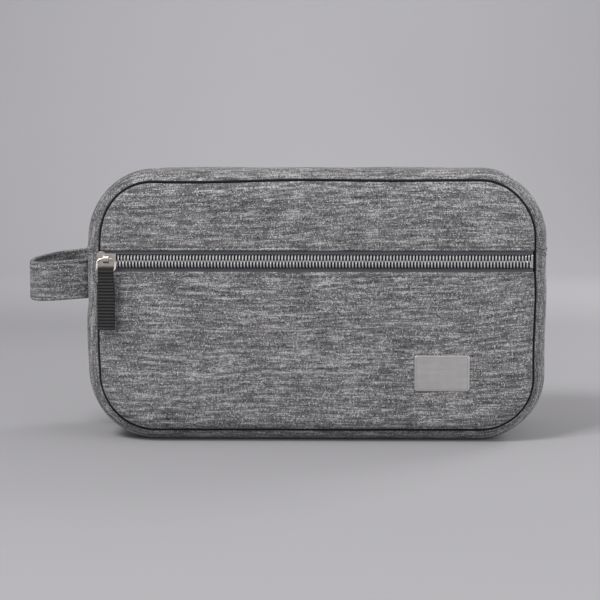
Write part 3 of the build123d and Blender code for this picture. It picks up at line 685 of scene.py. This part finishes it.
BINDING = material("binding_tape", ribbed((0.012, 0.012, 0.013), 0.7), 0.85, bump=0.3)
# the piping's near-black cloth is a painted shadow of the seam's groove
SHADOW_PIPING = material("shadow_piping_cloth", ribbed((0.005, 0.005, 0.006), 0.5), 0.9, bump=0.2)
PIPING_OUT, PIPING_RADIUS = 0.1, 0.8
BINDING_IN, BINDING_HALF, BINDING_THICK = 4.3, 3.2, 0.75
LOOP_RUNS = np.linspace(-LOOP_HALF, LOOP_HALF, 701)[:-1]
for side, name in ((-1, "front"), (1, "rear")):
    x, z, nx, nz = outline(LOOP_RUNS, PIPING_OUT)
    outward = np.stack([nx, np.zeros_like(nx), nz], -1)
    path = slack(np.stack([x, np.full_like(x, side * (SEAM_Y + PIPING_OUT)), z], -1))
    shape = carried(path, outward, [0, 1, 0], circle(PIPING_RADIUS, 10), True)
    piece = add_mesh(f"piping_cord_{name}", shape, SHADOW_PIPING, "bag_body")
    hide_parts(f"piping_{name}")
    node = f"seam_binding_{name}"
    middle = sum(corner[1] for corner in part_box(node)) * 500
    path = np.stack([x, np.full_like(x, middle), z], -1) - BINDING_IN * outward
    shape = carried(path, outward, [0, 1, 0], band(BINDING_HALF, BINDING_THICK), True)
    piece = add_mesh(f"binding_{name}", shape, BINDING, "bag_body")
    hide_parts(node)


# Cross seams and end tabs
# Where the zipped gusset meets the base gusset, a narrow fold is sewn flat across the side.
# A tab of heather cloth covers each end of the zip and runs down into that seam.

CROSS_HALF, CROSS_THICK = 1.5, 0.5
TAB_FROM, TAB_HALF, TAB_THICK, TAB_LIFT = 79.0, 7.9, 0.6, 0.75
for sign, name in ((-1, "left"), (1, "right")):
    section = base_section()[6:-6]
    x, z, nx, nz = outline(np.full(len(section), sign * (CROSS_RUN + 0.4)), section[:, 1] + 0.1)
    path = np.stack([x, section[:, 0], z], -1)
    across, out = square_to(path, [nx[0], 0, nz[0]])
    points, faces, uv = carried(slack(path), across, out, band(CROSS_HALF, CROSS_THICK))
    shape = points, faces, threads(uv[:, 0], uv[:, 1] + 1700)
    add_mesh(f"cross_fold_{name}", shape, CLOTH, "bag_body")
    line = slack(path + [sign * 0.05, 0, -3.0])[2:-2]
    add_mesh(f"cross_stitches_{name}", stitches(line, [sign, 0, 0]), THREAD, "bag_body")
    y = np.linspace(-TAB_HALF, TAB_HALF, 17)
    tab = np.stack([y, TAB_LIFT + 0.25 * (1 - (y / TAB_HALF) ** 2)], -1)
    surface, uv = gusset_grid(sign * np.linspace(TAB_FROM, CROSS_RUN, 90), tab)
    shape = slab(surface, uv + [0, 1600], TAB_THICK, sign > 0)
    piece = add_mesh(f"end_cloth_{name}", shape, CLOTH, "bag_body")
    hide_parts(f"end_tab_{name}")
    sewn_sheet(surface)


# Zips of the pocket and the mouth
# Nylon coil zips: a monofilament wound into two interlocking coils round black cords, each
# sewn along a grey woven tape. The pocket's chain runs into the side seams.

PITCH = 1.78
COIL_RADIUS, COIL_MIDDLE, COIL_HALF = 0.42, 1.42, 1.62
COIL_LIFT, COIL_RISE, COIL_LEAN = 0.98, 0.6, 0.16
CORD_MIDDLE, CORD_LIFT, CORD_HALF, CORD_THICK = 1.75, 0.95, 1.25, 0.5
SEWN_AT, SEWN_LIFT, SEWN_RADIUS = 3.35, 0.2, 0.32
TAPE_MIDDLE, TAPE_HALF, TAPE_THICK = 7.0, 5.5, 0.25
POCKET_TAPE_END, POCKET_CHAIN_FROM, POCKET_CHAIN_TO = 117.3, -117.0, 113.4
MOUTH_TAPE_END, MOUTH_CHAIN_FROM, MOUTH_CHAIN_TO = 80.0, -75.0, 70.6
TAPE = material("zip_tape", ribbed((0.085, 0.09, 0.1), 0.55, 1.5, 0.6), 0.85, bump=0.5)
COIL = material("coil_filament", speckled((0.52, 0.52, 0.53), 900.0, 0.2), 0.3, metallic=0.4, bump=0.1)
CORD = material("coil_cord", speckled((0.005, 0.005, 0.005), 1500.0), 0.9, bump=0.3)
POCKET = dict(origin=(0, -46.75, ZIP_Z), along=(-1, 0, 0), across=(0, 0, -1), out=(0, -1, 0))
MOUTH = dict(origin=(0, 0, SEAM_HIGH), along=(1, 0, 0), across=(0, 1, 0), out=(0, 0, 1))


def put(shape, origin, along, across, out):
    """A shape drawn flat, put in place: origin + x * along + y * across + z * out."""
    return np.asarray(shape[0]) @ np.array([along, across, out], float) + origin, shape[1], shape[2]


def sunk(shape):
    """The pocket's zip follows its panel back to the side seams: it sinks on the panel's quarter ellipse."""
    points = np.array(shape[0], float)
    near = between(SEAM_HALF - np.abs(points[:, 0]), 0, PANEL_ROLL)
    points[:, 2] -= PANEL_PUFF * (1 - np.sqrt(1 - (1 - near) ** 2))
    return points, shape[1], shape[2]


def coil(x_from, x_to, side, detail=14):
    """One coil of wound filament. Once in each pitch it goes round a flattened loop: across is a cosine, and
    lift a sine to a power. It leans a little as it crosses the face."""
    turns = int((x_to - x_from) / PITCH)
    t = np.arange(turns * detail + 1) / detail
    phase = 2 * math.pi * t
    across = COIL_MIDDLE + COIL_HALF * np.cos(phase)
    lift = COIL_LIFT + COIL_RISE * np.sign(np.sin(phase)) * np.abs(np.sin(phase)) ** 0.8
    path = np.stack([x_from + PITCH * (t + COIL_LEAN * np.cos(phase)), side * across, lift], -1)
    first, second = square_to(path, [1, 0, 0])
    return carried(path, first, second, circle(COIL_RADIUS, 6))


def straight(x_from, x_to, y, z, profile):
    """A cord or tape along a zip: a profile carried straight, with a slight wave."""
    x = np.linspace(x_from, x_to, 160)
    path = np.stack([x, y + 0.08 * np.sin(x * 4), np.full_like(x, z)], -1)
    return carried(path, [0, 1, 0], [0, 0, 1], profile)


def add_zip(name, ends, chain, side, seat, sinks=False):
    """Tape, filament, inner cord and sewing line of one side of a zip, in that order."""
    tape = straight(*ends, side * TAPE_MIDDLE, -TAPE_THICK, band(TAPE_HALF, TAPE_THICK, 15))
    cord = straight(*chain, side * CORD_MIDDLE, CORD_LIFT, band(CORD_HALF, CORD_THICK))
    sewing = straight(*chain, side * SEWN_AT, SEWN_LIFT, circle(SEWN_RADIUS, 6))
    pieces = []
    for part, shape, finish, slot in (
        ("tape", tape, TAPE, "tape"),
        ("filament", coil(*chain, side), COIL, "coil"),
        ("cord", cord, CORD, "tape"),
        ("sewing", sewing, CORD, "tape"),
    ):
        shape = sunk(shape) if sinks else shape
        pieces.append(add_mesh(f"{name}_{part}", put(shape, **seat), finish, None))
    return pieces


for side, name in ((-1, "upper"), (1, "lower")):
    ends = (-POCKET_TAPE_END, POCKET_TAPE_END)
    chain = (POCKET_CHAIN_FROM + (0 if side < 0 else PITCH / 2), POCKET_CHAIN_TO)
    tape, wound, *sewn = add_zip(f"pocket_{name}", ends, chain, side, POCKET, sinks=True)
    for piece in (tape, wound, *sewn):
        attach(piece, "bag_body")
    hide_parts(f"pocket_tape_{name}")
    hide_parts(f"pocket_coil_{name}")

for side, name in ((-1, "front"), (1, "rear")):
    for half, sign in (("left", -1), ("right", 1)):
        ends = (-MOUTH_TAPE_END, 0.0) if sign < 0 else (0.0, MOUTH_TAPE_END)
        first, last = (MOUTH_CHAIN_FROM, 0.0) if sign < 0 else (0.0, MOUTH_CHAIN_TO)
        first = math.ceil(first / PITCH) * PITCH + (0 if side < 0 else PITCH / 2)
        tape, wound, *sewn = add_zip(f"main_{name}_{half}", ends, (first, last), side, MOUTH)
        for piece in (tape, wound, *sewn):
            open_with_lip(piece)
        if sign < 0:
            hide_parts(f"main_tape_{name}")
            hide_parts(f"main_coil_{name}")
        elif side < 0:
            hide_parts("main_tape_ends")
            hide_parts("main_coil_ends")


# Pull tabs
# Black ribbed webbing, folded through the slider's ring and sewn to itself. The folded top
# is narrower and smoother, and the ribs below it are as wide as the webbing.

RIB_PITCH = 1.72


def tab_shape(length, hole=0.75, thick=1.2, width=9.5, neck=8.4, neck_end=6.6, gap=0.04):
    """Folded webbing that hangs towards +Y from a bar on the X axis. Its line is a leg, a shoulder, a half
    circle round the bar, and the same back. Ribs |sin| stand on it below the neck, and a groove marks the
    neck's end."""
    half, radius = gap + thick / 2, hole + thick / 2
    leg = np.linspace(length, 2.8, 190)
    ease = (np.cos(np.linspace(math.pi, 0, 8)) + 1) / 2
    shoulder = np.stack([np.linspace(2.6, 0.2, 8), half + (radius - half) * ease], -1)
    turn = np.linspace(0, math.pi, 15)
    loop = radius * np.stack([-np.sin(turn), np.cos(turn)], -1)
    front = np.concatenate([np.stack([leg, np.full_like(leg, half)], -1), shoulder])
    line = np.concatenate([front, loop, front[::-1] * [1, -1]])
    along = line[:, 0]
    body = between(along, neck_end - 0.3, neck_end + 0.5)
    path = np.stack([np.zeros(len(line)), along, line[:, 1]], -1)
    out = np.cross(np.gradient(path, axis=0), [1, 0, 0])
    out /= np.linalg.norm(out, axis=1, keepdims=True)
    profile = band((neck + (width - neck) * body) / 2, thick / 2 - 0.1, 11, 3)
    rib = (0.3 + 0.7 * body) * (0.24 * np.abs(np.sin((length - along) * math.pi / RIB_PITCH)) - 0.08)
    rib -= 0.25 * np.exp(-(((along - neck_end) / 0.4) ** 2))
    flat = np.abs(profile[..., 0]) < profile[..., 0].max(1, keepdims=True) * 0.95
    profile[..., 1] += np.sign(profile[..., 1]) * rib[:, None] * flat
    points, faces, _ = carried(path, [1, 0, 0], out, profile)
    run = np.repeat((length - along)[:, None], profile.shape[1], 1)
    return points, faces, np.stack([run, profile[..., 0]], -1).reshape(-1, 2)


def webbing(color, light):
    """Ribbed webbing: ribs |sin(u)|, each with a row of threads |sin(v)| whose crests are painted lighter, a
    painted highlight.
    """

    def build(n):
        u, v = n.add("ShaderNodeSeparateXYZ", {0: n.place()}).outputs[:2]
        rib = n.math("ABSOLUTE", n.math("SINE", n.math("MULTIPLY", u, math.pi / RIB_PITCH)))
        thread = n.math("ABSOLUTE", n.math("SINE", n.math("MULTIPLY", v, math.pi / 0.62)))
        broken = n.noise(n.xyz(n.math("MULTIPLY", u, 0.58), n.math("MULTIPLY", v, 1.6), 0.0), 1.0, 2.0)
        # painted highlight: each rib's crest is painted lighter, in a broken row of thread dots
        painted_highlight = n.math("MULTIPLY", n.math("MULTIPLY_ADD", thread, 0.6, 0.4), n.sum(broken, 0.3))
        tone = n.math("MULTIPLY", n.math("POWER", rib, 2.5), painted_highlight)
        return n.ramp(tone, (0.05, color), (0.75, light)), n.math("MULTIPLY_ADD", thread, 0.3, rib), None

    return build


# the second colour is the painted highlight on the rib crests
WEBBING = material("ribbed_webbing", webbing((0.003, 0.003, 0.003), (0.05, 0.05, 0.053)), 0.85, bump=0.5)
POCKET_BAR = dict(POCKET, origin=(-114.0, -52.15, ZIP_Z - 4.728))
MAIN_BAR = dict(origin=(78.395, 0, 146.65), along=(0, -1, 0), across=(1, 0, 0), out=(0, 0, 1))
for name, body, length, seat in (
    ("pocket", "pocket_tab", 32.2, POCKET_BAR),
    ("main", "main_tab", 24.0, MAIN_BAR),
):
    piece = add_mesh(f"{name}_webbing", put(tab_shape(length), **seat), WEBBING, body, 55)
    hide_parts(f"{name}_pull_tab")


# Handle
# A strap of heather cloth folded on itself, topstitched along both edges. Its two ends are
# turned in and sewn flat to the side, and the loop stands out and droops a little.

FOOT_X, HANDLE_TIP = -127.4, -163.9
FOOT_FROM, FOOT_TO = -15.0, -24.0
TURN_OUT, TURN_WIDE = 3.5, 3.6
STRAP_HALF, STRAP_THICK = 11.0, 1.1
DROOP, REAR_RISE = 3.4, 3.6
EDGE_STITCH, STITCH_OUT = 0.83, 0.86


def loop_line():
    """Middle line of the strap in plan: a straight foot, a quarter-ellipse turn, and a part of an ellipse out
    to the tip. The other half is its mirror image."""
    foot = np.stack([np.full(30, FOOT_X), np.linspace(FOOT_FROM, FOOT_TO, 30)], -1)
    turn = np.linspace(0, math.pi / 2, 16)[1:]
    bend = np.stack([FOOT_X - TURN_OUT * (1 - np.cos(turn)), FOOT_TO - TURN_WIDE * np.sin(turn)], -1)
    angle = np.linspace(0.04, 1, 60)[1:] * math.pi / 2
    reach = FOOT_X - TURN_OUT - HANDLE_TIP - STRAP_THICK
    width = bend[-1, 1] * np.cos(angle) ** 0.8 - 1.2 * np.sin(angle * 2)
    half = np.concatenate([foot, bend, np.stack([bend[-1, 0] - reach * np.sin(angle), width], -1)])
    return np.concatenate([half, half[::-1][1:] * [1, -1]])


plan = loop_line()
plan = at_runs(plan, np.linspace(0, distances(plan)[-1], 260))
forward = np.gradient(plan, axis=0)
forward /= np.linalg.norm(forward, axis=1, keepdims=True)
outward = np.stack([-forward[:, 1], forward[:, 0], np.zeros(len(plan))], -1)
droop = DROOP * between(-plan[:, 0], -FOOT_X + 1, -HANDLE_TIP) ** 1.25
lift = REAR_RISE * between(plan[:, 1], -26, 26) * between(-plan[:, 0], 129, 134)
path = np.stack([plan[:, 0], plan[:, 1], HANDLE_Z - droop + lift], -1)
profile = band(np.full(len(plan), STRAP_HALF), STRAP_THICK, 41, 5)
groove = 0.24 * np.exp(-(((np.abs(profile[..., 0]) / STRAP_HALF - EDGE_STITCH) / 0.045) ** 2))
profile[..., 1] -= np.sign(profile[..., 1]) * groove
points, faces, uv = carried(path, [0, 0, 1], outward, profile)
shape = points, faces, threads(uv[:, 0], uv[:, 1] + 1900)
strap = add_mesh("handle_strap", shape, CLOTH, None, 60)
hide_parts("handle_loop", "handle_anchor_front", "handle_anchor_rear")
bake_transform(strap)
for level, edge in ((EDGE_STITCH, "top"), (-EDGE_STITCH, "bottom")):
    for way, face in ((1, "outer"), (-1, "inner")):
        line = path + outward * way * STITCH_OUT + [0, 0, STRAP_HALF * level]
        shape = stitches(line[8:-8], (outward * way)[8:-8], 3.2, 2.4, 0.22)
        piece = add_mesh(f"handle_stitches_{edge}_{face}", shape, THREAD, None)
        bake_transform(piece)


# Badge
# A brushed metal plate with a bevelled rim and a fine line cut inside it, left bare. The
# real one has two prongs behind it, bent over a small plate in the pocket.


def metal(color, along=(1, 1, 1), grain_and_sheen=0.12, base=0.3):
    """Plated metal: fine noise drawn out along one direction, the brushed grain, and a slow change of
    brightness, a painted sheen.
    """

    def build(n):
        place = n.add("ShaderNodeTexCoord").outputs["Object"]
        drawn = n.add("ShaderNodeVectorMath", {0: place, 1: along}, operation="MULTIPLY").outputs[0]
        brush = n.noise(drawn, 1000.0, 4.0, 0.7)
        tone = n.sum(n.math("MULTIPLY", brush, 0.6), n.math("MULTIPLY", n.noise(place, 220.0, 2.0), 0.4))
        # the colour spread carries the brushed grain and a painted sheen, the slow noise
        low, high = ([min(1, c * (1 + way)) for c in color] for way in (-grain_and_sheen, grain_and_sheen))
        return n.ramp(tone, (0.3, low), (0.7, high)), brush, n.math("MULTIPLY_ADD", brush, 0.25, base - 0.08)

    return build


def rounded_loop(width, height, radius, steps=6):
    """Rounded rectangle, counter-clockwise: a quarter circle about the middle of each corner."""
    turn = np.linspace(0, math.pi / 2, steps)[None] + np.arange(4)[:, None] * math.pi / 2
    middle = np.array([[1, 1], [-1, 1], [-1, -1], [1, -1]]) * [width / 2 - radius, height / 2 - radius]
    return (middle[:, None] + radius * np.stack([np.cos(turn), np.sin(turn)], -1)).reshape(-1, 2)


BADGE = material("brushed_badge", metal((0.56, 0.55, 0.54), (0.04, 1, 1), 0.1, 0.4), metallic=0.9, bump=0.12)
BADGE_WIDTH, BADGE_HEIGHT, BADGE_CORNER, BADGE_BACK = 30, 19.6, 1.5, -47.85
RIM = ((0, 0), (0, 0.5), (0.1, 0.72), (0.32, 0.86), (0.5, 0.9))
CUT_LINE = ((0.95, 0.9), (1.02, 0.74), (1.22, 0.74), (1.3, 0.9), (2.2, 0.9))
inset, rise = np.array(RIM + CUT_LINE).T
radius = np.maximum(BADGE_CORNER - inset, 0.35)
width, height = BADGE_WIDTH - 2 * inset, BADGE_HEIGHT - 2 * inset
rings = np.stack([rounded_loop(*sizes) for sizes in zip(width, height, radius)])
place = BADGE_X + rings[..., 0], BADGE_BACK - rise[:, None], BADGE_Z + rings[..., 1]
points = np.stack(np.broadcast_arrays(*place), -1)
corners = np.arange(rings.shape[0] * rings.shape[1]).reshape(rings.shape[:2])
faces = grid_faces(*corners.shape, False, True).tolist() + [corners[0, ::-1].tolist(), corners[-1].tolist()]
shape = points.reshape(-1, 3), faces, rings.reshape(-1, 2)
plate = add_mesh("badge_face", shape, BADGE, "bag_body", 30)
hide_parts("badge_plate")


# Sliders, rings and stops
# Die-cast sliders and wire rings in satin nickel plate, as packed, with the finish put on.
# The pocket's stop is a wire of its own, clamped over the coils beside the right seam.

NICKEL = material("satin_nickel", metal((0.66, 0.62, 0.57), (0.2, 1, 1), base=0.28), metallic=1.0, bump=0.05)
AS_PACKED = "pocket_slider_body", "pocket_pull_ring", "main_slider_body", "main_pull_ring"
for name in (*AS_PACKED, "main_zip_stops", "badge_backer"):
    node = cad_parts[name]
    node.data.materials.clear()
    node.data.materials.append(NICKEL)
STOP_FROM, STOP_TO = -117.2, -116.1
shape = sunk(straight(STOP_FROM, STOP_TO, 0.0, 0.9, band(3.6, 0.6)))
stop = add_mesh("pocket_stop_wire", put(shape, **POCKET), NICKEL, "bag_body")
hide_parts("pocket_zip_stop")


# Studio
# A pale floor that sweeps up into a backdrop, soft square lights in front on both sides, one
# behind and one on the backdrop, and the camera at the photograph's angle.

scene = bpy.context.scene
scene.view_settings.view_transform = "Standard"
FLOOR_NEAR, FLOOR_FAR, FLOOR_HALF, SWEEP_RADIUS, WALL_HIGH = -3000, 1300, 4000.0, 900, 3000
turn = np.linspace(0, math.pi / 2, 24)
sweep = np.stack([FLOOR_FAR + SWEEP_RADIUS * np.sin(turn), SWEEP_RADIUS - SWEEP_RADIUS * np.cos(turn)], -1)
floor_line = np.concatenate([[[FLOOR_NEAR, 0]], sweep, [[FLOOR_FAR + SWEEP_RADIUS, WALL_HIGH]]])
x = np.array([-FLOOR_HALF, FLOOR_HALF])
surface = np.stack(np.broadcast_arrays(x[None], floor_line[:, :1], floor_line[:, 1:]), -1)
shape = surface.reshape(-1, 3), grid_faces(len(floor_line), 2), surface[..., :2].reshape(-1, 2)
BACKDROP = material("floor", speckled((0.42, 0.412, 0.428), 3.0, 0.01), 0.9, bump=0.0)
add_mesh("floor", shape, BACKDROP)

world = bpy.data.worlds.new("studio")
scene.world = world
world.use_nodes = True
world.node_tree.nodes["Background"].inputs[0].default_value = (0.62, 0.615, 0.63, 1)
world.node_tree.nodes["Background"].inputs[1].default_value = 0.7

for name, place, size, power in (
    ("key", (-0.7, -0.9, 1.3), 0.5, 16),
    ("fill", (1.2, -1.0, 0.5), 1.0, 7),
    ("back", (0.9, 0.8, 0.7), 0.6, 6),
    ("backdrop", (0.0, 1.0, 1.0), 0.8, 8),
):
    light = bpy.data.lights.new(name, "AREA")
    light.size, light.energy = size, power
    holder = bpy.data.objects.new(name, light)
    scene.collection.objects.link(holder)
    holder.location = place
    aim = Vector((0.0, 2.0, 0.6)) if name == "backdrop" else Vector((0.0, 0.0, 0.07))
    holder.rotation_euler = (aim - holder.location).to_track_quat("-Z", "Y").to_euler()

VIEW_HALF, VIEW_DISTANCE, SENSOR = 0.1630, 0.9, 36.0
camera = bpy.data.objects.new("camera", bpy.data.cameras.new("camera"))
scene.collection.objects.link(camera)
scene.camera = camera
aim = Vector((-0.0090, -0.047, 0.0786))
azimuth, elevation = math.radians(1.2), math.radians(4.8)
level = math.cos(elevation)
away = Vector((math.sin(azimuth) * level, -math.cos(azimuth) * level, math.sin(elevation)))
camera.location = aim + VIEW_DISTANCE * away
camera.rotation_euler = (-away).to_track_quat("-Z", "Y").to_euler()
camera.data.sensor_fit = "HORIZONTAL"
camera.data.sensor_width = SENSOR
camera.data.lens = SENSOR / 2 * VIEW_DISTANCE / VIEW_HALF
